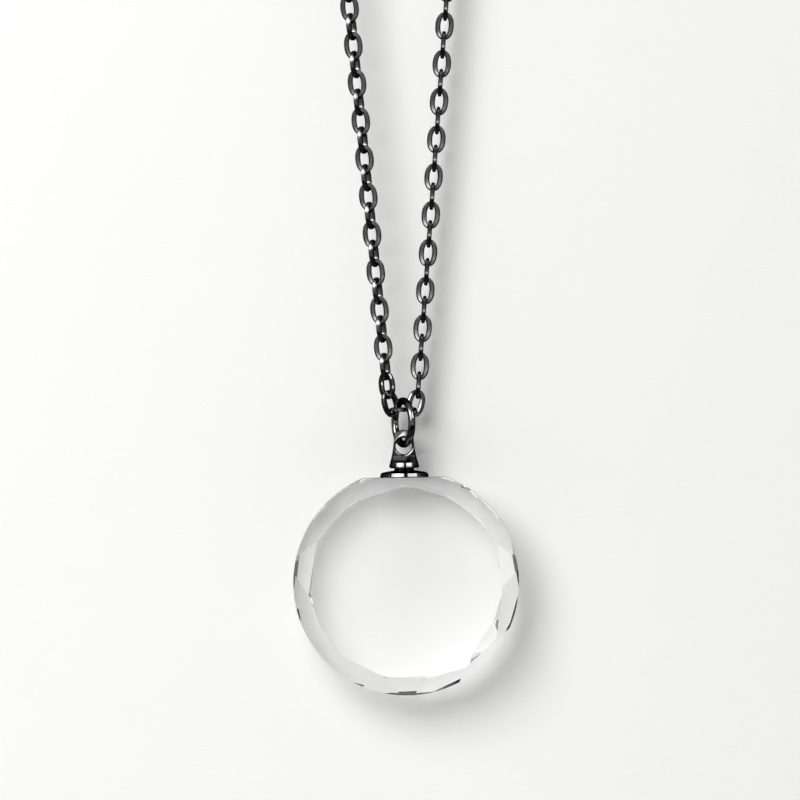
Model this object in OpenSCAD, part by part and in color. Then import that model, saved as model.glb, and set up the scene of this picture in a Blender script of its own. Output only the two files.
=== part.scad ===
// Crystal pendant on a cable chain, hanging as a whole necklace. Millimetres, +Z up, front towards -Y.
// The origin is the middle of the loop's top, where a hook or a neck carries the chain.

/* [Crystal] */
// Diameter of the glass disc
crystal_d = 35; // [34:0.5:37]
// Thickness of the glass, table to table
crystal_t = 10.5; // [10:0.1:12]
// Slope of the facets that start at an edge of the table, in degrees
facet_slope = 40; // [36:1:44]
// Height of the ground flat above the middle, as a share of the radius
flat_reach = 0.93; // [0.92:0.005:0.94]

/* [Cap] */
// Diameter of the domed foot that is glued to the ground flat
foot_d = 7.6; // [7:0.1:8]
// Height of the foot's rim
foot_rim = 0.45; // [0.4:0.05:0.6]
// Height of the foot in its middle
foot_h = 1.15; // [1:0.05:1.3]
// Diameter of the post at its flared base
post_base_d = 4.7; // [4.4:0.1:5]
// Diameter of the post just under its round top
post_top_d = 3.1; // [2.9:0.1:3.3]
// Height of the post's top above the ground flat
post_h = 7.4; // [7.2:0.1:7.8]
// Thickness of the post, front to back, where it is scooped at its eye
post_waist = 1.1; // [1:0.05:1.2]
// Diameter of the eye that the ring goes through
eye_d = 2.5; // [2.45:0.05:2.6]
// Height of the eye's middle above the ground flat
eye_z = 4.85; // [4.75:0.05:4.95]

/* [Ring] */
// Outer diameter of the round ring
ring_d = 7.86; // [7.7:0.02:8.2]
// Thickness of the ring's wire
ring_wire = 1.12; // [1.04:0.02:1.14]
// Turn of the ring about the upright, out of the front plane, in degrees
ring_turn = 67; // [65:1:69]

/* [Chain] */
// Distance from one link to the next
pitch = 2.95; // [2.93:0.01:2.97]
// Outer width of a link
link_w = 2.9; // [2.85:0.05:2.95]
// Width of the wire along a link's sides
wire_side = 0.76; // [0.72:0.02:0.78]
// Width of the wire round a link's ends
wire_tip = 0.6; // [0.56:0.02:0.62]
// Thickness of a link, seen edge on
wire_t = 0.72; // [0.68:0.02:0.74]
// Play between two links that are pulled tight
link_gap = 0.16; // [0.15:0.01:0.2]

/* [Loop] */
// Links in each straight strand
strand_links = 65; // [60:1:68]
// Links round the top of the loop
top_links = 20; // [18:2:20]
// Lean of the hanging loop off the upright, in degrees
loop_lean = 0.25; // [0:0.05:2]
// Lean of the link that leaves the ring on the left, in degrees
left_lean = 16; // [15.5:0.5:17]
// Lean of the link that leaves the ring on the right, in degrees
right_lean = 15.5; // [14.5:0.5:16]
// Turn of every second link of the left strand, in degrees from the front plane
left_turn = 68; // [64:2:90]

/* [Clasp] */
// Diameter of the clasp's barrel
barrel_d = 3; // [2.6:0.1:3.4]
// Outer diameter of the clasp's end eyes
clasp_eye_d = 3.3; // [3.1:0.1:3.4]
// Thickness of the wire of the end eyes
clasp_wire = 0.7; // [0.65:0.05:0.75]

/* [Hidden] */
glue_gap = 0.05;
crystal_r = crystal_d / 2;

// Corners of the hand-ground table, anticlockwise from the right as seen from the front.
// Columns: angle in degrees, reach as a share of the crystal's radius.
TABLE_CORNERS = [
    [-4, 0.85], [22, 0.87], [40, 0.865], [69, 0.86], [92, 0.86], [125, 0.862], [154, 0.872],
    [186, 0.87], [205, 0.852], [228, 0.862], [257, 0.856], [282, 0.864], [304, 0.912], [327, 0.94]
];
ANGLE = 0;
REACH = 1;
corners = len(TABLE_CORNERS);
// The facets are drawn out past the rim and then cut round
facet_out = crystal_r * 1.07;
table_flat_reach = crystal_r * 0.84;
facet_drop = (facet_out - table_flat_reach) * tan(facet_slope);

// Lengths that follow from the ring, measured from the middle of its wire at the top
wire_r = ring_wire / 2;
ring_bend = (ring_d - ring_wire) / 2;
// The ring's wire rides high in the eye
eye_seat = 0.28;
flat_z = -2 * ring_bend - eye_seat - eye_z;
crystal_z = flat_z - glue_gap - crystal_r * flat_reach;

// The middle link lies flat inside the ring, under its top and at right angles to it
link_half = (link_w - wire_side) / 2;
inner_half = (pitch + link_gap) / 2;
tip_reach = inner_half + wire_tip / 2;
seat_play = 0.15;
seat_room = ring_bend - wire_r - wire_side / 2 - seat_play;
seat_z = sqrt(seat_room * seat_room - link_half * link_half) - ring_bend;
across = [sin(ring_turn), cos(ring_turn), 0];
up = [0, 0, 1];
seat_right = across * pitch / 2 + up * seat_z;
seat_left = seat_right - across * pitch;

// A link stands up from each end wire of the middle link
hook_play = 0.2;
hook_reach = inner_half - wire_t / 2 - hook_play + pitch / 2;
start_z = seat_z + hook_reach * cos(left_lean);
function rise(lean, way) = up * cos(lean) + across * way * sin(lean);
function start(lean, way) =
    across * way * tip_reach + up * seat_z + rise(lean, way) * (start_z - seat_z) / cos(lean);
start_left = start(left_lean, -1);
start_right = start(right_lean, 1);
hook_left = start_left - rise(left_lean, -1) * pitch;
hook_right = start_right - rise(right_lean, 1) * pitch;
// The bend above the hooking link takes a little slack
bend_slack = up * 0.07;

// The spread of the strands lets both meet the arc of the top
function top_step(spread) = (180 + 2 * spread) / (top_links + 1);
function top_width(spread) =
    pitch * sin(top_links * top_step(spread) / 2) / sin(top_step(spread) / 2);
function fitted_spread(spread, rounds) = rounds == 0 ? spread :
    fitted_spread(asin((top_width(spread) - start_right[0] + start_left[0])
                       / (2 * strand_links * pitch)), rounds - 1);
strand_spread = fitted_spread(5, 8);
clasp_links = 3;
clasp_span = clasp_links * pitch;

function unit(v) = v / norm(v);
function strand_way(from) = unit([sign(from[0]) * sin(strand_spread),
                                  -from[1] / (strand_links * pitch), cos(strand_spread)]);
function strand(from, links) = [for (i = [0:links]) from + i * pitch * strand_way(from)];
function top_way(i) =
    let (a = i * top_step(strand_spread) - strand_spread) [sin(a), 0, cos(a)];
function top_points(from, i) = i > top_links ? [] :
    let (next = from + pitch * top_way(i)) concat([next], top_points(next, i + 1));
function leaned(p) =
    [p[0] * cos(loop_lean) + p[2] * sin(loop_lean), p[1], p[2] * cos(loop_lean) - p[0] * sin(loop_lean)];

left_strand = strand(start_left - bend_slack, strand_links);
top_arc = top_points(left_strand[strand_links], 1);
right_strand = strand(start_right - bend_slack, strand_links);
// The loop is built round the ring's top, then hung so that its own top is the origin
ring_top = -leaned(top_arc[top_links / 2 - 1]);
function hung(points) = [for (p = points) leaned(p) + ring_top];
function spans(points) = [for (i = [1:len(points) - 1]) hung([points[i - 1], points[i]])];
left_spans = concat([hung([seat_right, seat_left]), hung([hook_left, start_left])],
                    spans(concat(left_strand, top_arc)));
right_spans = concat([hung([hook_right, start_right])],
                     spans([for (i = [0:strand_links - clasp_links]) right_strand[i]]));
clasp_ends = hung([right_strand[strand_links - clasp_links], right_strand[strand_links]]);

// Turns about the chain's way, one for each link, counted from the ring
middle_turn = 90;
first_left_turn = 32;
second_left_turn = -36;
first_right_turn = 20;
left_turns = concat([middle_turn, first_left_turn, second_left_turn],
    [for (i = [3:len(left_spans) - 1]) i % 2 == 0 ? 0 : i > strand_links + 1 ? 90 : left_turn]);
right_turns = concat([first_right_turn], [for (i = [1:len(right_spans) - 1]) i % 2 == 0 ? 0 : 90]);

// A link is a stadium of 10 sections, each a pentagon with its ridge inwards
link_sides = 10;
wire_sides = 5;
end_angle = 45;
shoulder = 0.08;
link_straight = tip_reach - link_half;
PENTAGON_BACK = cos(144);
PENTAGON_TOP = sin(72);
function section_angle(k) = k < 5 ? k * end_angle : (k - 1) * end_angle;
function section_middle(k) =
    let (r = link_half * (1 + shoulder * abs(sin(2 * section_angle(k)))))
    [r * cos(section_angle(k)), r * sin(section_angle(k)) + (k < 5 ? link_straight : -link_straight)];
function section_width(k) = wire_tip + (wire_side - wire_tip) * abs(cos(section_angle(k)));
function corner_out(k, j) =
    section_width(k) * (0.5 - (cos(j * 72) - PENTAGON_BACK) / (1 - PENTAGON_BACK));
function corner_up(j) = wire_t / 2 * sin(j * 72) / PENTAGON_TOP;
function link_points(a, b, turn) =
    let (way = unit(b - a), side = unit(cross([0, 1, 0], way)), depth = cross(way, side),
         wide = side * cos(turn) + depth * sin(turn), thick = cross(wide, way))
    [for (k = [0:link_sides - 1]) for (j = [0:wire_sides - 1])
        let (m = section_middle(k), o = corner_out(k, j), g = section_angle(k))
        (a + b) / 2 + wide * (m[0] + o * cos(g)) + way * (m[1] + o * sin(g)) + thick * corner_up(j)];
function link_faces(first) =
    [for (k = [0:link_sides - 1]) for (j = [0:wire_sides - 1])
        let (near = first + k * wire_sides, far = first + (k + 1) % link_sides * wire_sides,
             next = (j + 1) % wire_sides)
        [near + j, far + j, far + next, near + next]];

module chain(ends, turns) {
    link_size = link_sides * wire_sides;
    polyhedron(
        points = [for (i = [0:len(turns) - 1]) each link_points(ends[i][0], ends[i][1], turns[i])],
        faces = [for (i = [0:len(turns) - 1]) each link_faces(i * link_size)]);
}

// One side of the cut glass as a closed block: table, facets, and straight walls behind them
module facet_block(depth) {
    table = [for (c = TABLE_CORNERS) let (r = crystal_r * c[REACH])
        [r * cos(c[ANGLE]), r * sin(c[ANGLE]), crystal_t / 2]];
    middles = [for (i = [0:corners - 1])
        let (a = TABLE_CORNERS[i][ANGLE], b = TABLE_CORNERS[(i + 1) % corners][ANGLE])
        (a + b + (b < a ? 360 : 0)) / 2];
    outer = [for (m = middles) [facet_out * cos(m), facet_out * sin(m), crystal_t / 2 - facet_drop]];
    base = [for (p = outer) [p[0], p[1], -depth]];
    polyhedron(
        points = concat(table, outer, base),
        faces = concat(
            [[for (i = [corners - 1:-1:0]) i]],
            [for (i = [0:corners - 1]) [i, (i + 1) % corners, corners + i]],
            [for (i = [0:corners - 1]) [(i + 1) % corners, corners + (i + 1) % corners, corners + i]],
            [for (i = [0:corners - 1]) let (n = (i + 1) % corners)
                [corners + i, corners + n, 2 * corners + n, 2 * corners + i]],
            [[for (i = [0:corners - 1]) 2 * corners + i]]));
}

module crystal() {
    color("aliceblue")
    translate(ring_top + [0, 0, crystal_z])
    difference() {
        intersection() {
            rotate([90, 0, 0]) cylinder(h = crystal_t + 2, r = crystal_r, center = true, $fn = 180);
            rotate([90, 0, 0]) facet_block(crystal_t);
            rotate([90, 0, 180]) facet_block(crystal_t);
        }
        translate([-crystal_r, -crystal_t, crystal_r * flat_reach])
            cube([crystal_d, 2 * crystal_t, crystal_r]);
    }
}

// Half of the round outline of the cap, from the ground flat up: foot, neck and flared post
foot_r = foot_d / 2;
foot_round = 0.1;
neck_r = 1.5;
neck_h = 0.25;
flare_round = 0.35;
flare_h = 0.3;
flare_power = 1.7;
shoulder_z = 6.1;
dome_steps = 7;
flare_steps = 5;
foot_steps = 6;
post_z = foot_h + neck_h;
function foot_dome(r) = foot_rim + (foot_h - foot_rim) * (1 - pow(r / foot_r, 2));
function flare(t) = post_top_d / 2 + (post_base_d - post_top_d) / 2 * pow(1 - t, flare_power);
cap_outline = concat(
    [[0, 0], [foot_r - foot_round, 0], [foot_r, foot_rim / 2], [foot_r - foot_round, foot_rim]],
    [for (i = [1:foot_steps - 2]) let (r = (foot_r - foot_round) * (1 - i / foot_steps)) [r, foot_dome(r)]],
    [[neck_r, post_z], [post_base_d / 2 - flare_round, post_z], [post_base_d / 2, post_z + flare_h]],
    [for (i = [1:flare_steps]) let (t = i / flare_steps)
        [flare(t), post_z + flare_h + (shoulder_z - post_z - flare_h) * t]],
    [for (i = [1:dome_steps]) let (a = 90 * i / dome_steps)
        [post_top_d / 2 * cos(a), shoulder_z + (post_h - shoulder_z) * sin(a)]]);

// Side outline of one scoop, which thins the post round its eye
scoop_r = 2.6;
scoop_bend = 58;
scoop_z = eye_z - 0.4;
scoop_steps = 6;
scoop_top = post_h + 1;
scoop_outline = concat(
    [for (i = [0:scoop_steps]) let (a = scoop_bend * (1 - i / scoop_steps))
        [post_waist / 2 + scoop_r * (1 - cos(a)), scoop_z - scoop_r * sin(a)]],
    [[post_waist / 2, scoop_top], [foot_d, scoop_top], [foot_d, scoop_z - scoop_r * sin(scoop_bend)]]);
bevel = 0.35;
bevel_skin = 0.01;

module cap() {
    color("dimgray")
    translate(ring_top + [0, 0, flat_z])
    difference() {
        rotate_extrude($fn = 72) polygon(cap_outline);
        for (turn = [0, 180])
            rotate([0, 0, turn]) rotate([90, 0, 90])
                linear_extrude(height = foot_d, center = true) polygon(scoop_outline);
        translate([0, 0, eye_z]) rotate([90, 0, 0])
            cylinder(h = foot_d, d = eye_d, center = true, $fn = 72);
        for (turn = [0, 180])
            rotate([0, 0, turn]) translate([0, -post_waist / 2 - bevel_skin, eye_z]) rotate([-90, 0, 0])
                cylinder(h = bevel, r1 = eye_d / 2 + bevel, r2 = eye_d / 2, $fn = 72);
    }
}

module bail_ring() {
    color("gray")
    translate(ring_top - [0, 0, ring_bend]) rotate([90, 0, -ring_turn])
        rotate_extrude($fn = 120) translate([ring_bend, 0]) circle(d = ring_wire, $fn = 36);
}

module chain_left() {
    color("dimgray") chain(left_spans, left_turns);
}

module chain_right() {
    color("dimgray") chain(right_spans, right_turns);
}

// Barrel clasp, closed: a plain barrel with an eye at each end, upright along the strand
module clasp() {
    eye_bend = (clasp_eye_d - clasp_wire) / 2;
    eye_middle = (clasp_span + link_gap) / 2 - (eye_bend - clasp_wire / 2);
    eye_sunk = 0.15;
    barrel_h = 2 * (eye_middle - eye_bend + eye_sunk);
    barrel_r = barrel_d / 2;
    end_round = 0.4;
    seam = 0.15;
    way = clasp_ends[1] - clasp_ends[0];
    color("dimgray")
    translate((clasp_ends[0] + clasp_ends[1]) / 2)
    rotate([0, acos(way[2] / norm(way)), atan2(way[1], way[0])]) {
        rotate_extrude($fn = 64) polygon([
            [0, -barrel_h / 2], [barrel_r - end_round, -barrel_h / 2],
            [barrel_r, end_round - barrel_h / 2], [barrel_r, -seam], [barrel_r - seam, 0],
            [barrel_r, seam], [barrel_r, barrel_h / 2 - end_round],
            [barrel_r - end_round, barrel_h / 2], [0, barrel_h / 2]]);
        for (side = [-1, 1])
            translate([0, 0, side * eye_middle]) rotate([0, 90, 0])
                rotate_extrude($fn = 64) translate([eye_bend, 0]) circle(d = clasp_wire, $fn = 24);
    }
}

crystal();
cap();
bail_ring();
chain_left();
chain_right();
clasp();
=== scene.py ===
"""Crystal pendant on an oval-link chain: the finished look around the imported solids."""

import math

import bmesh
import bpy
from bpy.props import FloatProperty, FloatVectorProperty, IntProperty, PointerProperty
from mathutils import Matrix, Vector


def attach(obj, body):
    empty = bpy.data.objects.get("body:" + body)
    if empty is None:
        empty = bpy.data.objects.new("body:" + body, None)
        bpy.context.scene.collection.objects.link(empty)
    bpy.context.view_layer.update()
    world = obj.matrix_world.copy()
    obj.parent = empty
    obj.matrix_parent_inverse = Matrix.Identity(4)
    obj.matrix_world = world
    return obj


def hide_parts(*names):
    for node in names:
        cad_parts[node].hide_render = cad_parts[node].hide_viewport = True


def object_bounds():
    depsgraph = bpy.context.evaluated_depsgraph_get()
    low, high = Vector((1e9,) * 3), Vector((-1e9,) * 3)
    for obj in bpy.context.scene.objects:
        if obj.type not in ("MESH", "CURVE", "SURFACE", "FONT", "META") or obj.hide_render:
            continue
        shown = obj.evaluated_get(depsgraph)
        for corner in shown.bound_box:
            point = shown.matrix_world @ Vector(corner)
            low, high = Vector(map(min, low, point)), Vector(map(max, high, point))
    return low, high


bl_info = {
    "name": "Crystal Pendant",
    "version": (1, 0, 0),
    "blender": (4, 5, 0),
    "location": "View3D > Sidebar > Pendant",
    "description": "Builds a cut crystal disc, its cap, ring, chain and clasp, and a small studio",
    "category": "Add Mesh",
}

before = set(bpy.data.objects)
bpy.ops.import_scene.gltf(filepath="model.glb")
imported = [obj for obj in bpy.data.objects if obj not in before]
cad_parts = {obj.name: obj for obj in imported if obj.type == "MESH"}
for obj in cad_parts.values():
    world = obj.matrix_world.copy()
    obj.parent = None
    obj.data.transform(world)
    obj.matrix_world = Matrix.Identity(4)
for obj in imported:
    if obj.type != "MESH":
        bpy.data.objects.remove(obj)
CAD_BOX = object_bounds()
MM = 0.001
PHOTO_PIXELS = 800
PHOTO_PIXEL = 0.15556 * MM
UP = Vector((0.0, 0.0, 1.0))
# Where the top of the ring's wire lies in the photo, in pixels from its upper left corner
RING_TOP_PIXEL = (403, 400.9)
# From the crystal towards the soft key light, and towards the window that only the glass sees
KEY_WAY = (-0.5, -1.0, 0.62)
WINDOW_WAY = (-0.55, -1.0, 0.95)

# Corners of the hand-ground table, anticlockwise from the right as seen from the front.
# Columns: angle in degrees, reach as a share of the crystal's radius.
TABLE_CORNERS = (
    (-4, 0.85), (22, 0.87), (40, 0.865), (69, 0.86), (92, 0.86), (125, 0.862), (154, 0.872),
    (186, 0.87), (205, 0.852), (228, 0.862), (257, 0.856), (282, 0.864), (304, 0.912), (327, 0.94),
)

# What polished faces see round them: a grey card in front, a soft box on each side, the ceiling
# and, low beside the camera, a small white card that lights up the crystal's lower right.
# Columns: lowest and highest azimuth in degrees from the front or back, lowest and highest height
# as a sine, width of the soft edge, brightness.
ROOM = (
    (-60, 60, -0.16, 0.2, 0.08, 0.52),
    (-66, -22, 0.34, 0.68, 0.06, 7.0),
    (20, 66, 0.34, 0.68, 0.06, 7.0),
    (-90, 90, 0.78, 1.0, 0.05, 0.9),
    (0.7, 6, -0.12, -0.05, 0.04, 8.0),
)
# A pale strip low round the panel's edge, which picks out every second facet.
# Columns as above, but the first two are how far forward of the panel's plane it lies, as a sine.
STRIPS = ((0.12, 0.21, -1.0, 0.4, 0.02, 2.6),)


def linear(hex_colour):
    """An sRGB hex value as linear RGBA."""
    parts = [int(hex_colour[i:i + 2], 16) / 255 for i in (1, 3, 5)]
    return [p / 12.92 if p <= 0.04045 else ((p + 0.055) / 1.055) ** 2.4 for p in parts] + [1.0]


def size(name, description, millimetres):
    """A length property with its default in millimetres."""
    return FloatProperty(name=name, description=description, default=millimetres * MM,
                         min=0.0, unit="LENGTH", subtype="DISTANCE", precision=5)


def turn(name, description, degrees):
    """An angle property with its default in degrees."""
    return FloatProperty(name=name, description=description, default=math.radians(degrees),
                         subtype="ANGLE", unit="ROTATION")


def colour(name, description, hex_colour):
    """A colour property with its default as an sRGB hex value."""
    return FloatVectorProperty(name=name, description=description, subtype="COLOR", size=4,
                               min=0.0, max=1.0, default=linear(hex_colour))


class PendantCrystal(bpy.types.PropertyGroup):
    """Sizes and tint of the cut disc"""

    diameter: size("Diameter", "Diameter of the glass disc", 35)
    thickness: size("Thickness", "Thickness from table to table", 10.5)
    slope: turn("Facet slope", "Slope of the facets that start at an edge of the table", 40)
    flat_reach: FloatProperty(name="Flat reach", default=0.93, min=0.9, max=0.99,
                              description="Height of the ground flat as a share of the radius")
    edge: size("Edge polish", "Width of the softened edge between two facets", 0.05)
    tint: colour("Tint", "Colour of the clear glass", "#FEFEFE")


class PendantCap(bpy.types.PropertyGroup):
    """Sizes of the cap"""

    foot: size("Foot", "Diameter of the domed foot", 7.6)
    foot_rim: size("Foot rim", "Height of the foot's rim", 0.6)
    foot_height: size("Foot height", "Height of the foot in its middle", 1.15)
    post_base: size("Post base", "Diameter of the post at its flared base", 4.7)
    post_top: size("Post top", "Diameter of the post under its round top", 3.1)
    post_height: size("Post height", "Height of the post's top above the ground flat", 7.4)
    waist: size("Waist", "Thickness of the scooped post at its eye", 1.1)
    eye: size("Eye", "Diameter of the eye that the ring goes through", 2.5)
    eye_height: size("Eye height", "Height of the eye's middle above the ground flat", 4.85)


class PendantRing(bpy.types.PropertyGroup):
    """Sizes and turn of the ring"""

    diameter: size("Diameter", "Outer diameter of the ring", 7.86)
    wire: size("Wire", "Thickness of the ring's wire", 1.12)
    turn: turn("Turn", "Turn of the ring about the upright, out of the front plane", 67)


class PendantChain(bpy.types.PropertyGroup):
    """Sizes of the links and of the loop"""

    pitch: size("Pitch", "Distance from one link to the next", 2.95)
    width: size("Link width", "Outer width of a link", 2.9)
    wire_side: size("Side wire", "Width of the wire along a link's sides", 0.76)
    wire_swell: size("Swell", "How much fuller the side wire is drawn at its middle", 0.06)
    wire_tip: size("End wire", "Width of the wire round a link's ends", 0.6)
    wire_depth: size("Link thickness", "Thickness of a link, seen edge on", 0.72)
    wire_edge: size("Wire edge", "Width of the slanted edges of the flattened wire", 0.2)
    roundness: FloatProperty(name="Roundness", default=0.9, min=0.5, max=1.0,
                             description="Shape of a link: 1 is an ellipse, less is squarer")
    play: size("Play", "Play between two links that are pulled tight", 0.16)
    strand_links: IntProperty(name="Strand links", default=65, min=10,
                              description="Links in each straight strand")
    top_links: IntProperty(name="Top links", default=20, min=10,
                           description="Links round the top of the loop")
    lean: turn("Loop lean", "Lean of the hanging loop off the upright", 0.25)
    left_lean: turn("Left lean", "Lean of the link that leaves the ring on the left", 16)
    right_lean: turn("Right lean", "Lean of the link that leaves the ring on the right", 15.5)
    left_turn: turn("Left turn", "Turn of every second link of the left strand", 68)


class PendantClasp(bpy.types.PropertyGroup):
    """Sizes of the barrel clasp"""

    barrel: size("Barrel", "Diameter of the clasp's barrel", 3)
    eye: size("End eye", "Outer diameter of the clasp's end eyes", 3.3)
    wire: size("Eye wire", "Thickness of the wire of the end eyes", 0.7)


class PendantFinish(bpy.types.PropertyGroup):
    """Colours of the plated metal"""

    ring_metal: colour("Ring metal", "Gunmetal plating of the ring and cap", "#6F6E6E")
    ring_shade: colour("Ring shade", "Darker patches in that plating", "#605F5F")
    chain_metal: colour("Chain metal", "Black plating of the links and clasp", "#6D6C6E")
    chain_shade: colour("Chain shade", "Darker patches in that plating", "#5C5B5D")
    edge: colour("Grazing tint", "Tint of both platings seen at a grazing angle", "#5A5A5A")


class PendantStudio(bpy.types.PropertyGroup):
    """The stage and its light"""

    panel_gap: size("Panel gap", "Distance from the crystal's middle to the panel behind it", 5.75)
    camera_distance: size("Camera distance", "Distance from the camera to the pendant", 1000)
    camera_roll: turn("Camera roll", "Roll of the camera about its view", 1)
    key_power: FloatProperty(name="Key light", default=8.0, min=0.0, unit="POWER",
                             description="Power of the soft light at the upper left")
    ambient: FloatProperty(name="Ambient", default=0.18, min=0.0,
                           description="Brightness of the light that comes from all round")
    ceiling: colour("Ceiling", "Cool grey of the room above the pendant", "#B2C3CA")
    paper: colour("Paper", "Colour of the panel and the floor", "#F5F5F4")
    # Painted dark reflection: the colour that the pale panel and floor take only where polished
    # metal mirrors them
    flag: colour("Painted_reflection", "What polished metal mirrors of the panel and the floor", "#343434")


def unit(v):
    """The vector at length one."""
    return v.normalized()


class Hang:
    """Where each piece hangs, worked out from the sizes as the solids' source does it."""

    def __init__(self, scene):
        crystal, cap, ring, chain = (scene.pendant_crystal, scene.pendant_cap,
                                     scene.pendant_ring, scene.pendant_chain)
        self.chain = chain
        self.ring_bend = (ring.diameter - ring.wire) / 2
        # The eye's middle hangs a little below the ring's wire, and the foot is glued to the glass
        eye_seat, glue_gap = 0.28 * MM, 0.05 * MM
        self.flat_z = -2 * self.ring_bend - eye_seat - cap.eye_height
        self.crystal_z = self.flat_z - glue_gap - crystal.diameter / 2 * crystal.flat_reach
        link_half = (chain.width - chain.wire_side) / 2
        inner_half = (chain.pitch + chain.play) / 2
        self.tip_reach = inner_half + chain.wire_tip / 2
        # The middle link lies level in the ring, as high as its sides find room under the wire
        seat_play = 0.15 * MM
        seat_room = self.ring_bend - ring.wire / 2 - chain.wire_side / 2 - seat_play
        self.seat_z = math.sqrt(seat_room ** 2 - link_half ** 2) - self.ring_bend
        self.across = Vector((math.sin(ring.turn), math.cos(ring.turn), 0.0))
        seat_right = self.across * chain.pitch / 2 + UP * self.seat_z
        seat_left = seat_right - self.across * chain.pitch
        # The next link on each side hooks round an end of the middle link and rises from it
        hook_play = 0.2 * MM
        hook_reach = inner_half - chain.wire_depth / 2 - hook_play + chain.pitch / 2
        self.start_z = self.seat_z + hook_reach * math.cos(chain.left_lean)
        start_left, start_right = self.start(chain.left_lean, -1), self.start(chain.right_lean, 1)
        hook_left = start_left - self.rise(chain.left_lean, -1) * chain.pitch
        hook_right = start_right - self.rise(chain.right_lean, 1) * chain.pitch
        # A little slack where the chain bends into each straight strand
        bend_slack = UP * 0.07 * MM
        width = start_right.x - start_left.x
        # The strands' spread off the upright, found by steps so that they meet the top of the loop
        spread = math.radians(5)
        for _ in range(8):
            spread = math.asin((self.top_width(spread) - width)
                               / (2 * chain.strand_links * chain.pitch))
        self.spread = spread
        left = self.strand(start_left - bend_slack)
        right = self.strand(start_right - bend_slack)
        arc = [left[-1]]
        for i in range(1, chain.top_links + 1):
            a = i * self.top_step(spread) - spread
            arc.append(arc[-1] + chain.pitch * Vector((math.sin(a), 0.0, math.cos(a))))
        self.ring_top = -self.leaned(arc[chain.top_links // 2])
        clasp_links = 3
        self.clasp_span = clasp_links * chain.pitch
        hung = self.hung
        self.left_spans = ([(hung(seat_right), hung(seat_left)),
                            (hung(hook_left), hung(start_left))]
                           + self.spans(left + arc[1:]))
        self.right_spans = ([(hung(hook_right), hung(start_right))]
                            + self.spans(right[:-clasp_links]))
        self.clasp_ends = (hung(right[-1 - clasp_links]), hung(right[-1]))

    def rise(self, lean, way):
        """Upwards along a link that leans out by an angle, to the left (-1) or right (1)."""
        return UP * math.cos(lean) + self.across * way * math.sin(lean)

    def start(self, lean, way):
        """Where a straight strand begins, above the link that leaves the ring."""
        along = (self.start_z - self.seat_z) / math.cos(lean)
        return self.across * way * self.tip_reach + UP * self.seat_z + self.rise(lean, way) * along

    def top_step(self, spread):
        """The turn from one link to the next round the top of the loop."""
        return (math.pi + 2 * spread) / (self.chain.top_links + 1)

    def top_width(self, spread):
        """How far apart the strands are where the top of the loop begins."""
        step = self.top_step(spread)
        return self.chain.pitch * math.sin(self.chain.top_links * step / 2) / math.sin(step / 2)

    def strand(self, foot):
        """The points between the links of a straight strand, from its foot up."""
        links, pitch = self.chain.strand_links, self.chain.pitch
        way = unit(Vector((math.copysign(math.sin(self.spread), foot.x),
                           -foot.y / (links * pitch), math.cos(self.spread))))
        return [foot + way * (i * pitch) for i in range(links + 1)]

    def leaned(self, p):
        """A point turned with the loop's lean, about the top of the ring."""
        c, s = math.cos(self.chain.lean), math.sin(self.chain.lean)
        return Vector((p.x * c + p.z * s, p.y, p.z * c - p.x * s))

    def hung(self, p):
        """A point of the chain where it hangs in the frame."""
        return self.leaned(p) + self.ring_top

    def spans(self, points):
        """The two ends of each link along a row of points."""
        return [(self.hung(a), self.hung(b)) for a, b in zip(points, points[1:])]

    def left_turns(self):
        """Turn of each link of the left node about the chain's way, counted from the ring."""
        near_ring = (90, 32, -36)
        turns = [math.radians(a) for a in near_ring]
        for i in range(len(near_ring), len(self.left_spans)):
            crossed = math.pi / 2 if i > self.chain.strand_links + 1 else self.chain.left_turn
            turns.append(crossed if i % 2 else 0.0)
        return turns

    def right_turns(self):
        """The same for the right node."""
        near_ring = math.radians(20)
        return [near_ring] + [math.pi / 2 if i % 2 else 0.0
                              for i in range(1, len(self.right_spans))]


def object_from(name, bm, material=None):
    """A new object in the scene from a finished bmesh."""
    mesh = bpy.data.meshes.new(name)
    bm.to_mesh(mesh)
    bm.free()
    if material:
        mesh.materials.append(material)
    made = bpy.data.objects.new(name, mesh)
    bpy.context.scene.collection.objects.link(made)
    return made


def applied(made):
    """Turns the modifiers of an object into its mesh."""
    depsgraph = bpy.context.evaluated_depsgraph_get()
    mesh = bpy.data.meshes.new_from_object(made.evaluated_get(depsgraph))
    made.modifiers.clear()
    old, made.data = made.data, mesh
    mesh.name = made.name
    bpy.data.meshes.remove(old)
    return made


def cut(made, tool, operation="DIFFERENCE"):
    """Cuts or joins one closed shape with another and deletes the tool."""
    modifier = made.modifiers.new("Cut", "BOOLEAN")
    modifier.operation, modifier.solver, modifier.object = operation, "EXACT", tool
    applied(made)
    mesh = tool.data
    bpy.data.objects.remove(tool)
    bpy.data.meshes.remove(mesh)
    if not made.data.polygons:
        raise RuntimeError(f"cutting {made.name} left nothing")
    return made


def softened(made, width, segments, angle):
    """Rounds the edges of a piece that are sharper than an angle."""
    modifier = made.modifiers.new("Edges", "BEVEL")
    modifier.width, modifier.segments = width, segments
    modifier.limit_method, modifier.angle_limit = "ANGLE", angle
    modifier.use_clamp_overlap = True
    return applied(made)


def tidied(made, sharp):
    """Merges doubles, turns the faces outwards and shades smooth up to an angle."""
    bm = bmesh.new()
    bm.from_mesh(made.data)
    bmesh.ops.remove_doubles(bm, verts=bm.verts, dist=1e-7)
    bmesh.ops.dissolve_degenerate(bm, dist=1e-7, edges=bm.edges)
    bmesh.ops.recalc_face_normals(bm, faces=bm.faces)
    bm.to_mesh(made.data)
    bm.free()
    made.data.shade_smooth()
    made.data.set_sharp_from_angle(angle=sharp)
    return made


def dressed(made, body, nodes):
    """Hangs the piece on the body that it rides on and hides the solids that it stands for."""
    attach(made, body)
    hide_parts(*nodes)


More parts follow.
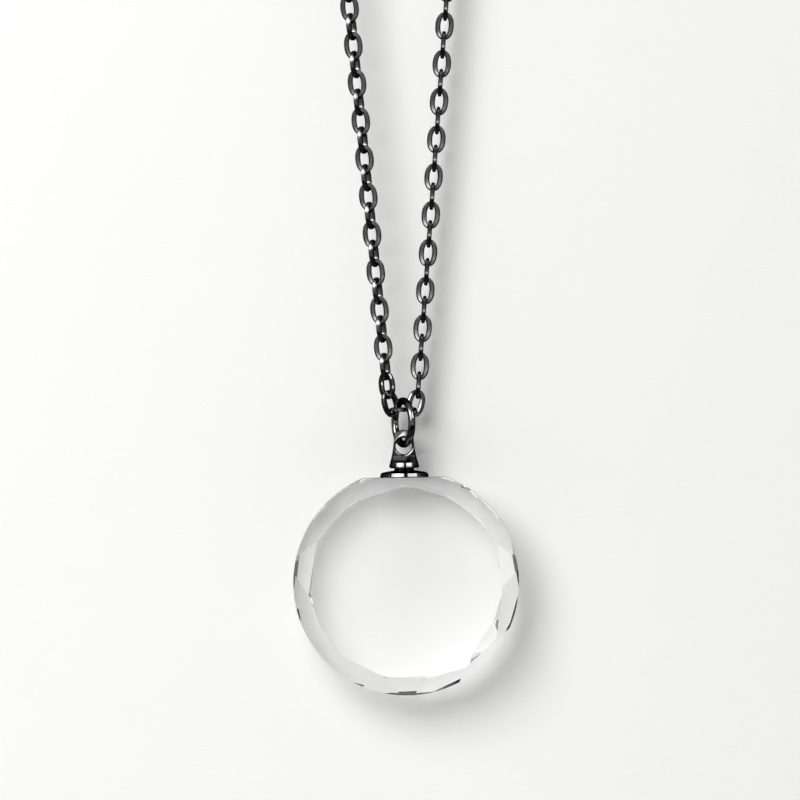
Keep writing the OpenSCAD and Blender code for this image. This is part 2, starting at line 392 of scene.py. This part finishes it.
def revolved(outline, sides):
    """A closed solid of revolution about Z from (radius, height) points, bottom to top."""
    bm = bmesh.new()
    rows = []
    for r, z in outline:
        if r == 0:
            rows.append([bm.verts.new((0, 0, z))] * sides)
        else:
            rows.append([bm.verts.new((r * math.cos(2 * math.pi * k / sides),
                                       r * math.sin(2 * math.pi * k / sides), z))
                         for k in range(sides)])
    for low, high in zip(rows, rows[1:]):
        for k in range(sides):
            n = (k + 1) % sides
            corners = []
            for v in (low[k], low[n], high[n], high[k]):
                if v not in corners:
                    corners.append(v)
            bm.faces.new(corners)
    return bm


def torus(bend, wire, around, section):
    """A closed ring of round wire about Z."""
    bm = bmesh.new()
    rows = []
    for k in range(around):
        a = 2 * math.pi * k / around
        rows.append([])
        for j in range(section):
            b = 2 * math.pi * j / section
            r, z = bend + wire / 2 * math.cos(b), wire / 2 * math.sin(b)
            rows[-1].append(bm.verts.new((r * math.cos(a), r * math.sin(a), z)))
    for k in range(around):
        near, far = rows[k], rows[(k + 1) % around]
        for j in range(section):
            n = (j + 1) % section
            bm.faces.new((near[j], far[j], far[n], near[n]))
    return bm


def extruded(outline, depth):
    """A prism from (y, z) points, closed, along X and centred on it."""
    bm = bmesh.new()
    ends = [[bm.verts.new((x, y, z)) for y, z in outline] for x in (-depth / 2, depth / 2)]
    bm.faces.new(ends[0])
    bm.faces.new(reversed(ends[1]))
    count = len(outline)
    for k in range(count):
        n = (k + 1) % count
        bm.faces.new((ends[0][n], ends[0][k], ends[1][k], ends[1][n]))
    return bm


def add(tree, kind, inputs=None, **settings):
    """Adds one node. An input takes a value, a socket or another node's first output."""
    node = tree.nodes.new(kind)
    for key, value in settings.items():
        setattr(node, key, value)
    for key, value in (inputs or {}).items():
        if isinstance(value, bpy.types.Node):
            value = value.outputs[0]
        if isinstance(value, bpy.types.NodeSocket):
            tree.links.new(value, node.inputs[key])
        else:
            node.inputs[key].default_value = value
    return node


def new_material(name):
    """An empty material: its tree, its output and the place of each point on the piece."""
    material = bpy.data.materials.new(name)
    material.use_nodes = True
    tree = material.node_tree
    tree.nodes.clear()
    place = add(tree, "ShaderNodeTexCoord").outputs["Object"]
    return material, tree, place


def cut_glass(tint):
    """Crown glass, ground and polished by hand: clear, with a faint haze and a wavy skin."""
    material, tree, place = new_material("cut_glass")
    # Hand polishing leaves haze in patches about 4 mm wide
    haze = add(tree, "ShaderNodeTexNoise", {"Vector": place, "Scale": 1 / (4 * MM), "Detail": 2.0})
    rough = add(tree, "ShaderNodeMapRange", {"Value": haze, "From Min": 0.45, "From Max": 0.75,
                                             "To Min": 0.0, "To Max": 0.012})
    # Seeds open to the surface, about 0.25 mm across and one every 6 mm
    seeds = add(tree, "ShaderNodeTexVoronoi", {"Vector": place, "Scale": 1 / (6 * MM)})
    pits = add(tree, "ShaderNodeMapRange", {"Value": seeds, "From Min": 0.0, "From Max": 0.02})
    pitted = add(tree, "ShaderNodeBump", {"Height": pits, "Strength": 0.5, "Distance": 0.02 * MM})
    # The ground faces are flat to a few hundredths over about 9 mm
    wave = add(tree, "ShaderNodeTexNoise", {"Vector": place, "Scale": 1 / (9 * MM), "Detail": 1.0})
    skin = add(tree, "ShaderNodeBump", {"Height": wave, "Normal": pitted, "Strength": 0.12,
                                        "Distance": 0.05 * MM})
    shader = add(tree, "ShaderNodeBsdfPrincipled",
                 {"Base Color": tint, "Transmission Weight": 1.0, "IOR": 1.52,
                  "Roughness": rough, "Normal": skin})
    add(tree, "ShaderNodeOutputMaterial", {"Surface": shader})
    return material


def plated_metal(name, bright, shade, edge, least_rough, most_rough):
    """Gunmetal plating on tumbled brass: a mirror with hairlines and slightly duller patches."""
    material, tree, place = new_material(name)
    # Plating tone drifts over about 1.5 mm
    tone = add(tree, "ShaderNodeTexNoise",
               {"Vector": place, "Scale": 1 / (1.5 * MM), "Detail": 3.0})
    drift = add(tree, "ShaderNodeMapRange", {"Value": tone, "From Min": 0.35, "From Max": 0.65})
    # The colour sockets of a mix node are its seventh and eighth
    mixed = add(tree, "ShaderNodeMix", {0: drift, 6: shade, 7: bright}, data_type="RGBA")
    # Tumbling marks: hairlines drawn 0.06 mm wide and 0.6 mm long, coarser than real ones
    stretched = add(tree, "ShaderNodeMapping", {"Vector": place, "Scale": (1.0, 1.0, 0.1)})
    hair = add(tree, "ShaderNodeTexNoise",
               {"Vector": stretched, "Scale": 1 / (0.06 * MM), "Detail": 2.0})
    rough = add(tree, "ShaderNodeMapRange", {"Value": hair, "From Min": 0.35, "From Max": 0.7,
                                             "To Min": least_rough, "To Max": most_rough})
    line = add(tree, "ShaderNodeBump", {"Height": hair, "Strength": 0.08, "Distance": 0.01 * MM})
    shader = add(tree, "ShaderNodeBsdfPrincipled",
                 {"Base Color": mixed.outputs[2], "Metallic": 1.0, "Specular Tint": edge,
                  "Roughness": rough, "Normal": line})
    add(tree, "ShaderNodeOutputMaterial", {"Surface": shader})
    return material


def paper(tint, dark):
    """Matt card, seen from its front only, and painted dark where polished metal mirrors it.

    This painted dark reflection outlines the metal in black, as dark flags standing round it would.
    """
    material, tree, place = new_material("matt_card")
    ray = add(tree, "ShaderNodeLightPath").outputs
    # Painted dark reflection: the card's colour turns dark only for rays mirrored off polished metal
    mirrored = add(tree, "ShaderNodeMath", {0: ray["Is Glossy Ray"], 1: ray["Is Reflection Ray"]},
                   operation="MULTIPLY")
    reflection_painted_dark = add(tree, "ShaderNodeMix", {0: mirrored, 6: tint, 7: dark}, data_type="RGBA")
    # The card's tooth, drawn as coarse as 0.8 mm so that it can show
    grain = add(tree, "ShaderNodeTexNoise",
                {"Vector": place, "Scale": 1 / (0.8 * MM), "Detail": 4.0})
    tooth = add(tree, "ShaderNodeBump", {"Height": grain, "Strength": 0.05, "Distance": 0.02 * MM})
    card = add(tree, "ShaderNodeBsdfPrincipled",
               {"Base Color": reflection_painted_dark.outputs[2], "Roughness": 0.9, "Normal": tooth})
    clear = add(tree, "ShaderNodeBsdfTransparent")
    behind = add(tree, "ShaderNodeNewGeometry").outputs["Backfacing"]
    shown = add(tree, "ShaderNodeMixShader", {0: behind, 1: card, 2: clear})
    add(tree, "ShaderNodeOutputMaterial", {"Surface": shown})
    return material


def material_once(name, make):
    """The material of that name, made the first time that it is asked for."""
    return bpy.data.materials.get(name) or make()


def ring_metal(finish):
    """Bright gunmetal plating, for the ring and cap."""
    return material_once("bright_gunmetal", lambda: plated_metal(
        "bright_gunmetal", finish.ring_metal, finish.ring_shade, finish.edge,
        least_rough=0.05, most_rough=0.12))


def chain_metal(finish):
    """Black gunmetal plating, for the links and clasp."""
    return material_once("black_gunmetal", lambda: plated_metal(
        "black_gunmetal", finish.chain_metal, finish.chain_shade, finish.edge,
        least_rough=0.1, most_rough=0.2))


class PENDANT_OT_crystal(bpy.types.Operator):
    """Cuts the glass disc with its tables, facets and ground flat"""

    bl_idname = "pendant.crystal"
    bl_label = "Crystal"

    def facet_block(self, sizes, back):
        """One side's table and facets as a closed block, with straight walls behind them."""
        radius, top = sizes.diameter / 2, sizes.thickness / 2
        # The facets fall from a circle inside the table's corners to one just outside the disc
        inner, out = radius * 0.84, radius * 1.07
        drop = (out - inner) * math.tan(sizes.slope)
        count = len(TABLE_CORNERS)
        angles = [math.radians(c[0]) for c in TABLE_CORNERS]
        bm = bmesh.new()
        side = -1 if back else 1

        def vert(a, r, z):
            return bm.verts.new((side * r * math.cos(a), -side * z, r * math.sin(a)))

        table = [vert(a, radius * c[1], top) for a, c in zip(angles, TABLE_CORNERS)]
        middles = []
        for i, a in enumerate(angles):
            b = angles[(i + 1) % count]
            middles.append((a + b + (2 * math.pi if b < a else 0)) / 2)
        outer = [vert(m, out, top - drop) for m in middles]
        base = [vert(m, out, -sizes.thickness) for m in middles]
        bm.faces.new(table)
        bm.faces.new(base)
        for i in range(count):
            n = (i + 1) % count
            bm.faces.new((table[i], table[n], outer[i]))
            bm.faces.new((table[n], outer[n], outer[i]))
            bm.faces.new((outer[i], outer[n], base[n], base[i]))
        bmesh.ops.recalc_face_normals(bm, faces=bm.faces)
        return object_from("facet_block", bm)

    def execute(self, context):
        sizes, hang = context.scene.pendant_crystal, Hang(context.scene)
        rim_sides, spare = 288, 1 * MM
        radius = sizes.diameter / 2
        half = sizes.thickness / 2 + spare
        bm = revolved([(0, -half), (radius, -half), (radius, half), (0, half)], rim_sides)
        bmesh.ops.rotate(bm, verts=bm.verts, matrix=Matrix.Rotation(math.pi / 2, 3, "X"))
        bmesh.ops.recalc_face_normals(bm, faces=bm.faces)
        disc = object_from("crystal_cut", bm)
        for back in (False, True):
            cut(disc, self.facet_block(sizes, back), "INTERSECT")
        # A block as high as the radius, with its lower face on the ground flat
        bm = bmesh.new()
        bmesh.ops.create_cube(bm, size=1.0)
        bmesh.ops.scale(bm, verts=bm.verts, vec=(sizes.diameter, sizes.thickness * 2, radius))
        bmesh.ops.translate(bm, verts=bm.verts, vec=(0, 0, radius * (sizes.flat_reach + 0.5)))
        cut(disc, object_from("flat_tool", bm))
        disc.data.transform(Matrix.Translation(hang.ring_top + UP * hang.crystal_z))
        disc.data.materials.append(material_once("cut_glass", lambda: cut_glass(sizes.tint)))
        softened(disc, sizes.edge, segments=2, angle=math.radians(8))
        tidied(disc, sharp=math.radians(4))
        dressed(disc, "drop", ["crystal"])
        return {"FINISHED"}


class PENDANT_OT_cap(bpy.types.Operator):
    """Turns the domed foot and flared post, and scoops and pierces the post"""

    bl_idname = "pendant.cap"
    bl_label = "Cap"

    def outline(self, s):
        """Half outline of the cap from the ground flat up."""
        foot, top, base = s.foot / 2, s.post_top / 2, s.post_base / 2
        neck, shoulder, sweep = 1.5 * MM, 6.1 * MM, 1.7
        post_z = s.foot_height + 0.25 * MM
        flare_z = post_z + 0.3 * MM
        # The foot's side leans in a little and so mirrors the soft boxes. The dome starts inside it.
        chamfer, lean = 0.1 * MM, 0.14 * MM
        dome, dome_z = foot - 0.45 * MM, s.foot_rim + 0.17 * MM
        points = [(0, 0), (foot - chamfer, 0), (foot, s.foot_rim * 0.2),
                  (foot - lean, s.foot_rim), (dome, dome_z)]
        steps = 18
        for i in range(1, steps):
            r = dome + (neck - dome) * i / steps
            points.append((r, dome_z + (s.foot_height - dome_z) * (1 - (r / dome) ** 2)))
        # The post's lower edge is rounded over
        points += [(neck, post_z), (base - 0.35 * MM, post_z),
                   (base - 0.12 * MM, post_z + 0.06 * MM), (base, flare_z)]
        steps = 24
        for i in range(1, steps + 1):
            t = i / steps
            r = top + (base - top) * (1 - t) ** sweep
            points.append((r, flare_z + (shoulder - flare_z) * t))
        steps = 20
        for i in range(1, steps + 1):
            a = math.pi / 2 * i / steps
            r = 0 if i == steps else top * math.cos(a)
            points.append((r, shoulder + (s.post_height - shoulder) * math.sin(a)))
        return points

    def scoop(self, s):
        """Side outline of the hollow that thins the post round its eye."""
        radius, bend, steps = 2.6 * MM, math.radians(58), 24
        low = s.eye_height - 0.4 * MM
        high = s.post_height + 1 * MM
        points = []
        for i in range(steps + 1):
            a = bend * (1 - i / steps)
            points.append((s.waist / 2 + radius * (1 - math.cos(a)), low - radius * math.sin(a)))
        return points + [(s.waist / 2, high), (s.foot, high),
                         (s.foot, low - radius * math.sin(bend))]

    def eye(self, s):
        """A drill with a round-lipped mouth on both faces of the waist."""
        lip, steps = 0.35 * MM, 8
        half = [(s.eye / 2 + lip * (1 - math.cos(math.pi / 2 * i / steps)),
                 s.waist / 2 - lip * (1 - math.sin(math.pi / 2 * i / steps)))
                for i in range(steps + 1)]
        mouth = s.eye / 2 + lip
        side = [(mouth, s.foot)] + half[::-1]
        outline = ([(0, -s.foot)] + [(r, -z) for r, z in side]
                   + [(r, z) for r, z in side[::-1]] + [(0, s.foot)])
        bm = revolved(outline, sides=96)
        bmesh.ops.rotate(bm, verts=bm.verts, matrix=Matrix.Rotation(math.pi / 2, 3, "X"))
        bmesh.ops.translate(bm, verts=bm.verts, vec=(0, 0, s.eye_height))
        bmesh.ops.recalc_face_normals(bm, faces=bm.faces)
        return object_from("eye_tool", bm)

    def execute(self, context):
        s, hang = context.scene.pendant_cap, Hang(context.scene)
        bm = revolved(self.outline(s), sides=144)
        bmesh.ops.recalc_face_normals(bm, faces=bm.faces)
        cap = object_from("cap_turned", bm)
        for side in (-1, 1):
            bm = extruded([(side * y, z) for y, z in self.scoop(s)], s.foot)
            bmesh.ops.recalc_face_normals(bm, faces=bm.faces)
            cut(cap, object_from("scoop_tool", bm))
        cut(cap, self.eye(s))
        cap.data.materials.append(ring_metal(context.scene.pendant_finish))
        softened(cap, width=0.07 * MM, segments=3, angle=math.radians(35))
        cap.data.transform(Matrix.Translation(hang.ring_top + UP * hang.flat_z))
        tidied(cap, sharp=math.radians(30))
        dressed(cap, "drop", ["cap"])
        return {"FINISHED"}


class PENDANT_OT_ring(bpy.types.Operator):
    """Bends the round ring that joins the cap to the chain"""

    bl_idname = "pendant.ring"
    bl_label = "Ring"

    def execute(self, context):
        sizes, hang = context.scene.pendant_ring, Hang(context.scene)
        bm = torus(hang.ring_bend, sizes.wire, around=160, section=36)
        stand = UP.rotation_difference(hang.across).to_matrix()
        bmesh.ops.rotate(bm, verts=bm.verts, matrix=stand)
        bmesh.ops.translate(bm, verts=bm.verts, vec=hang.ring_top - UP * hang.ring_bend)
        ring = object_from("ring_round", bm, ring_metal(context.scene.pendant_finish))
        tidied(ring, sharp=math.radians(60))
        dressed(ring, "ring", ["bail_ring"])
        return {"FINISHED"}


class PENDANT_OT_chain(bpy.types.Operator):
    """Lays the oval links along both strands and round the top"""

    bl_idname = "pendant.chain"
    bl_label = "Chain"

    def link_tree(self):
        """Geometry nodes that bend one oval link and put it at each point, turned as it hangs."""
        tree = bpy.data.node_groups.new("Oval links", "GeometryNodeTree")
        face = tree.interface
        face.new_socket("Geometry", in_out="INPUT", socket_type="NodeSocketGeometry")
        for name in ("Half width", "Half length", "Roundness", "Side wire", "End wire", "Depth",
                     "Edge"):
            face.new_socket(name, in_out="INPUT", socket_type="NodeSocketFloat")
        face.new_socket("Metal", in_out="INPUT", socket_type="NodeSocketMaterial")
        face.new_socket("Geometry", in_out="OUTPUT", socket_type="NodeSocketGeometry")
        given = add(tree, "NodeGroupInput").outputs
        # The link's way round: a circle of radius one, made a rounded oval of the link's size
        circle = add(tree, "GeometryNodeCurvePrimitiveCircle", {"Resolution": 28, "Radius": 1.0})
        position = add(tree, "GeometryNodeInputPosition")
        here = add(tree, "ShaderNodeSeparateXYZ", {0: position}).outputs
        reach = {}
        for axis, half in (("X", "Half width"), ("Y", "Half length")):
            away = add(tree, "ShaderNodeMath", {0: here[axis]}, operation="ABSOLUTE")
            squared = add(tree, "ShaderNodeMath", {0: away, 1: given["Roundness"]},
                          operation="POWER")
            sign = add(tree, "ShaderNodeMath", {0: here[axis]}, operation="SIGN")
            signed = add(tree, "ShaderNodeMath", {0: squared, 1: sign}, operation="MULTIPLY")
            reach[axis] = add(tree, "ShaderNodeMath", {0: signed, 1: given[half]},
                              operation="MULTIPLY")
        spot = add(tree, "ShaderNodeCombineXYZ", reach)
        way = add(tree, "GeometryNodeSetPosition", {"Geometry": circle, "Position": spot})
        # The wire's section: a bar with corners cut at 45 degrees, then flattened
        flatten = 0.75
        deep = add(tree, "ShaderNodeMath", {0: given["Depth"], 1: flatten}, operation="DIVIDE")
        bar = add(tree, "GeometryNodeCurvePrimitiveQuadrilateral",
                  {"Width": given["Side wire"], "Height": deep}, mode="RECTANGLE")
        cut_bar = add(tree, "GeometryNodeFilletCurve",
                      {"Curve": bar, "Count": 1, "Radius": given["Edge"]}, mode="POLY")
        wire = add(tree, "GeometryNodeTransform",
                   {"Geometry": cut_bar, "Scale": (1.0, flatten, 1.0)})
        # The ends are drawn thinner than the sides
        sideways = add(tree, "ShaderNodeMath", {0: here["X"]}, operation="ABSOLUTE")
        share = add(tree, "ShaderNodeMath", {0: sideways, 1: given["Half width"]},
                    operation="DIVIDE")
        thin = add(tree, "ShaderNodeMath", {0: given["End wire"], 1: given["Side wire"]},
                   operation="DIVIDE")
        scale = add(tree, "ShaderNodeMapRange", {"Value": share, "To Min": thin, "To Max": 1.0})
        link = add(tree, "GeometryNodeCurveToMesh",
                   {"Curve": way, "Profile Curve": wire, "Scale": scale})
        turned = add(tree, "FunctionNodeAxesToRotation", {
            "Primary Axis": add(tree, "GeometryNodeInputNamedAttribute", {"Name": "way"},
                                data_type="FLOAT_VECTOR"),
            "Secondary Axis": add(tree, "GeometryNodeInputNamedAttribute", {"Name": "thick"},
                                  data_type="FLOAT_VECTOR"),
        }, primary_axis="Y", secondary_axis="Z")
        placed = add(tree, "GeometryNodeInstanceOnPoints",
                     {"Points": given["Geometry"], "Instance": link, "Rotation": turned})
        real = add(tree, "GeometryNodeRealizeInstances", {"Geometry": placed})
        last = add(tree, "GeometryNodeSetMaterial", {"Geometry": real, "Material": given["Metal"]})
        add(tree, "NodeGroupOutput", {"Geometry": last})
        return tree

    def places(self, name, spans, turns):
        """A mesh of points, one for each link, that carry the link's way and thickness."""
        bm = bmesh.new()
        ways, thicks = [], []
        for (a, b), angle in zip(spans, turns):
            bm.verts.new((a + b) / 2)
            way = unit(b - a)
            side = unit(Vector((0, 1, 0)).cross(way))
            depth = way.cross(side)
            wide = side * math.cos(angle) + depth * math.sin(angle)
            ways.append(way)
            thicks.append(wide.cross(way))
        points = object_from(name, bm)
        for key, vectors in (("way", ways), ("thick", thicks)):
            data = points.data.attributes.new(key, "FLOAT_VECTOR", "POINT").data
            data.foreach_set("vector", [c for v in vectors for c in v])
        return points

    def execute(self, context):
        hang, chain = Hang(context.scene), context.scene.pendant_chain
        metal = chain_metal(context.scene.pendant_finish)
        least_faces = 100
        tree = self.link_tree()
        socket = {item.name: item.identifier for item in tree.interface.items_tree
                  if item.in_out == "INPUT"}
        side = chain.wire_side + chain.wire_swell
        values = {"Half width": (chain.width - side) / 2, "Half length": hang.tip_reach,
                  "Roundness": chain.roundness, "Side wire": side, "End wire": chain.wire_tip,
                  "Depth": chain.wire_depth, "Edge": chain.wire_edge, "Metal": metal}
        strands = (("links_left", hang.left_spans, hang.left_turns(), "chain_left"),
                   ("links_right", hang.right_spans, hang.right_turns(), "chain_right"))
        for name, spans, turns, node in strands:
            links = self.places(name, spans, turns)
            modifier = links.modifiers.new("Links", "NODES")
            modifier.node_group = tree
            for key, value in values.items():
                modifier[socket[key]] = value
            applied(links)
            for key in ("way", "thick"):
                if key in links.data.attributes:
                    links.data.attributes.remove(links.data.attributes[key])
            tidied(links, sharp=math.radians(30))
            if len(links.data.polygons) < len(spans) * least_faces:
                raise RuntimeError(f"{name} has too few faces")
            dressed(links, "chain", [node])
        return {"FINISHED"}


class PENDANT_OT_clasp(bpy.types.Operator):
    """Turns the closed barrel clasp with its two end eyes"""

    bl_idname = "pendant.clasp"
    bl_label = "Clasp"

    def execute(self, context):
        s, hang = context.scene.pendant_clasp, Hang(context.scene)
        bend = (s.eye - s.wire) / 2
        middle = (hang.clasp_span + context.scene.pendant_chain.play) / 2 - (bend - s.wire / 2)
        # The barrel's ends lie just past the middle of the eyes' wire, which is soldered to them
        overlap = 0.15 * MM
        half = middle - bend + overlap
        radius, soft, seam, steps = s.barrel / 2, 0.4 * MM, 0.15 * MM, 8
        end = [(radius - soft * (1 - math.sin(math.pi / 2 * i / steps)),
                half - soft * (1 - math.cos(math.pi / 2 * i / steps))) for i in range(steps + 1)]
        upper = [(radius - seam, 0), (radius - seam * 0.3, seam * 0.3), (radius, seam)] + end[::-1]
        outline = ([(0, -half)] + [(r, -z) for r, z in upper[:0:-1]] + upper + [(0, half)])
        bm = revolved(outline, sides=96)
        bmesh.ops.recalc_face_normals(bm, faces=bm.faces)
        clasp = object_from("clasp_barrel", bm)
        for side in (-1, 1):
            bm = torus(bend, s.wire, around=72, section=20)
            bmesh.ops.rotate(bm, verts=bm.verts, matrix=Matrix.Rotation(math.pi / 2, 3, "Y"))
            bmesh.ops.translate(bm, verts=bm.verts, vec=UP * side * middle)
            bmesh.ops.recalc_face_normals(bm, faces=bm.faces)
            cut(clasp, object_from("eye_ring", bm), "UNION")
        low, high = hang.clasp_ends
        way = high - low
        place = (Matrix.Translation((low + high) / 2)
                 @ Matrix.Rotation(math.atan2(way.y, way.x), 4, "Z")
                 @ Matrix.Rotation(math.acos(way.z / way.length), 4, "Y"))
        clasp.data.transform(place)
        clasp.data.materials.append(chain_metal(context.scene.pendant_finish))
        tidied(clasp, sharp=math.radians(35))
        dressed(clasp, "chain", ["clasp"])
        return {"FINISHED"}


class PENDANT_OT_studio(bpy.types.Operator):
    """Sets the pale panel and floor, the soft light and the camera"""

    bl_idname = "pendant.studio"
    bl_label = "Studio"

    def sheet(self, name, corners, material):
        """A flat card of the stage."""
        bm = bmesh.new()
        bm.faces.new([bm.verts.new(c) for c in corners])
        made = object_from(name, bm, material)

    def soft_light(self, name, aim, towards, distance, width, power):
        """A round soft light, which isn't seen through the glass."""
        light = bpy.data.lights.new(name, "AREA")
        light.shape, light.size, light.energy = "DISK", width, power
        made = bpy.data.objects.new(name, light)
        made.location = aim + unit(Vector(towards)) * distance
        made.rotation_mode = "QUATERNION"
        made.rotation_quaternion = (aim - made.location).to_track_quat("-Z", "Y")
        made.visible_transmission = False
        bpy.context.scene.collection.objects.link(made)

    def surroundings(self, scene, studio):
        """The room: soft boxes to mirror, a window seen through glass, a dim glow on matt card."""
        world = bpy.data.worlds.new("studio")
        scene.world = world
        world.use_nodes = True
        tree = world.node_tree
        tree.nodes.clear()
        look = add(tree, "ShaderNodeTexCoord").outputs["Generated"]
        way = add(tree, "ShaderNodeSeparateXYZ", {0: look}).outputs
        ahead = add(tree, "ShaderNodeMath", {0: way["Y"]}, operation="ABSOLUTE")
        azimuth = add(tree, "ShaderNodeMath", {0: way["X"], 1: ahead}, operation="ARCTAN2")

        def within(value, low, high, soft):
            """One inside a range, which falls to zero over a soft edge."""
            away = add(tree, "ShaderNodeMath", {0: value, 1: (low + high) / 2},
                       operation="SUBTRACT")
            distance = add(tree, "ShaderNodeMath", {0: away}, operation="ABSOLUTE")
            half = (high - low) / 2
            return add(tree, "ShaderNodeMapRange",
                       {"Value": distance, "From Min": half, "From Max": half + soft,
                        "To Min": 1.0, "To Max": 0.0}, interpolation_type="SMOOTHSTEP")

        # What polished faces mirror: a nearly dark room, and in it the patches of ROOM and STRIPS
        glow = 0.02
        for measure, step, rows in ((azimuth, math.radians(1), ROOM), (ahead, 1.0, STRIPS)):
            for left, right, low, high, soft, bright in rows:
                across = within(measure, left * step, right * step, soft)
                upright = within(way["Z"], low, high, soft)
                patch = add(tree, "ShaderNodeMath", {0: across, 1: upright}, operation="MULTIPLY")
                glow = add(tree, "ShaderNodeMath", {0: patch, 1: bright, 2: glow},
                           operation="MULTIPLY_ADD")
        # What the glass sees: a window, by the cosine of the angle off its way, and a faint glow
        # that grows from the sides to the front
        rim_cosine, full_cosine, window_glow = 0.83, 0.96, 3.9
        side_y, front_y, side_glow, front_glow = -0.35, -0.65, 0.05, 0.6
        near = add(tree, "ShaderNodeVectorMath", {0: look, 1: unit(Vector(WINDOW_WAY))},
                   operation="DOT_PRODUCT").outputs["Value"]
        window = add(tree, "ShaderNodeMapRange",
                     {"Value": near, "From Min": rim_cosine, "From Max": full_cosine,
                      "To Min": 0.0, "To Max": window_glow})
        front = add(tree, "ShaderNodeMapRange",
                    {"Value": way["Y"], "From Min": side_y, "From Max": front_y,
                     "To Min": side_glow, "To Max": front_glow})
        through = add(tree, "ShaderNodeMath", {0: window, 1: front}, operation="ADD")
        ceiling_low, ceiling_high = 0.75, 0.95
        height = add(tree, "ShaderNodeMapRange",
                     {"Value": way["Z"], "From Min": ceiling_low, "From Max": ceiling_high})
        tone = add(tree, "ShaderNodeMix", {0: height, 6: studio.paper, 7: studio.ceiling},
                   data_type="RGBA").outputs[2]
        for_mirrors = add(tree, "ShaderNodeBackground", {"Color": tone, "Strength": glow})
        for_glass = add(tree, "ShaderNodeBackground", {"Color": tone, "Strength": through})
        for_camera = add(tree, "ShaderNodeBackground", {"Color": studio.paper})
        for_card = add(tree, "ShaderNodeBackground",
                       {"Color": studio.paper, "Strength": studio.ambient})
        ray = add(tree, "ShaderNodeLightPath").outputs
        seen = for_card
        for kind, light in (("Is Glossy Ray", for_mirrors), ("Is Transmission Ray", for_glass),
                            ("Is Camera Ray", for_camera)):
            seen = add(tree, "ShaderNodeMixShader", {0: ray[kind], 1: seen, 2: light})
        add(tree, "ShaderNodeOutputWorld", {"Surface": seen})

    def execute(self, context):
        scene, studio, hang = context.scene, context.scene.pendant_studio, Hang(context.scene)
        card = material_once("matt_card", lambda: paper(studio.paper, studio.flag))
        wide, tall, front, under = 0.4, 0.12, -0.35, 0.2
        floor_z, behind = CAD_BOX[0].z - under, studio.panel_gap
        self.sheet("backdrop", [(-wide, behind, floor_z), (wide, behind, floor_z),
                                (wide, behind, tall), (-wide, behind, tall)], card)
        self.sheet("floor", [(-wide * 3, front, floor_z), (wide * 3, front, floor_z),
                             (wide * 3, behind, floor_z), (-wide * 3, behind, floor_z)], card)
        middle = hang.ring_top + UP * hang.crystal_z
        key_distance, key_width = 0.9, 0.7
        self.soft_light("key", middle, KEY_WAY, key_distance, key_width, studio.key_power)
        self.surroundings(scene, studio)

        camera = bpy.data.cameras.new("camera")
        seen, sensor = PHOTO_PIXELS * PHOTO_PIXEL, 36.0
        camera.sensor_width = sensor
        camera.lens = sensor * studio.camera_distance / seen
        camera.clip_start, camera.clip_end = 0.01, 20.0
        eye = bpy.data.objects.new("camera", camera)
        right = Vector((math.cos(studio.camera_roll), 0.0, -math.sin(studio.camera_roll)))
        upward = Vector((math.sin(studio.camera_roll), 0.0, math.cos(studio.camera_roll)))
        centre = PHOTO_PIXELS / 2
        across, down = RING_TOP_PIXEL
        aim = (hang.ring_top - right * (across - centre) * PHOTO_PIXEL
               + upward * (down - centre) * PHOTO_PIXEL)
        back = right.cross(upward)
        axes = Matrix((right, upward, back)).transposed().to_4x4()
        eye.matrix_world = Matrix.Translation(aim + back * studio.camera_distance) @ axes
        scene.collection.objects.link(eye)
        scene.camera = eye
        scene.view_settings.view_transform = "Standard"
        return {"FINISHED"}


class PENDANT_PT_panel(bpy.types.Panel):
    """Lists the pieces of the pendant and what each is made from"""

    bl_idname = "PENDANT_PT_panel"
    bl_label = "Pendant"
    bl_space_type = "VIEW_3D"
    bl_region_type = "UI"
    bl_category = "Pendant"

    def draw(self, context):
        for group, operator in GROUPS:
            box = self.layout.box()
            if operator:
                box.operator(operator)
            settings = getattr(context.scene, group)
            for key in settings.__annotations__:
                box.prop(settings, key)


GROUPS = (
    ("pendant_studio", "pendant.studio"),
    ("pendant_crystal", "pendant.crystal"),
    ("pendant_cap", "pendant.cap"),
    ("pendant_ring", "pendant.ring"),
    ("pendant_chain", "pendant.chain"),
    ("pendant_clasp", "pendant.clasp"),
    ("pendant_finish", ""),
)
SETTINGS = (PendantStudio, PendantCrystal, PendantCap, PendantRing, PendantChain, PendantClasp,
            PendantFinish)
CLASSES = SETTINGS + (PENDANT_OT_studio, PENDANT_OT_crystal, PENDANT_OT_cap, PENDANT_OT_ring,
                      PENDANT_OT_chain, PENDANT_OT_clasp, PENDANT_PT_panel)


def register():
    """Adds the operators, the panel and the settings of a scene."""
    for each in CLASSES:
        bpy.utils.register_class(each)
    for (group, _), settings in zip(GROUPS, SETTINGS):
        setattr(bpy.types.Scene, group, PointerProperty(type=settings))


def unregister():
    """Takes them away again."""
    for group, _ in GROUPS:
        delattr(bpy.types.Scene, group)
    for each in reversed(CLASSES):
        bpy.utils.unregister_class(each)


def main():
    """Builds the stage and every piece."""
    register()
    bpy.ops.pendant.studio()
    bpy.ops.pendant.crystal()
    bpy.ops.pendant.cap()
    bpy.ops.pendant.ring()
    bpy.ops.pendant.chain()
    bpy.ops.pendant.clasp()


if __name__ == "__main__":
    main()
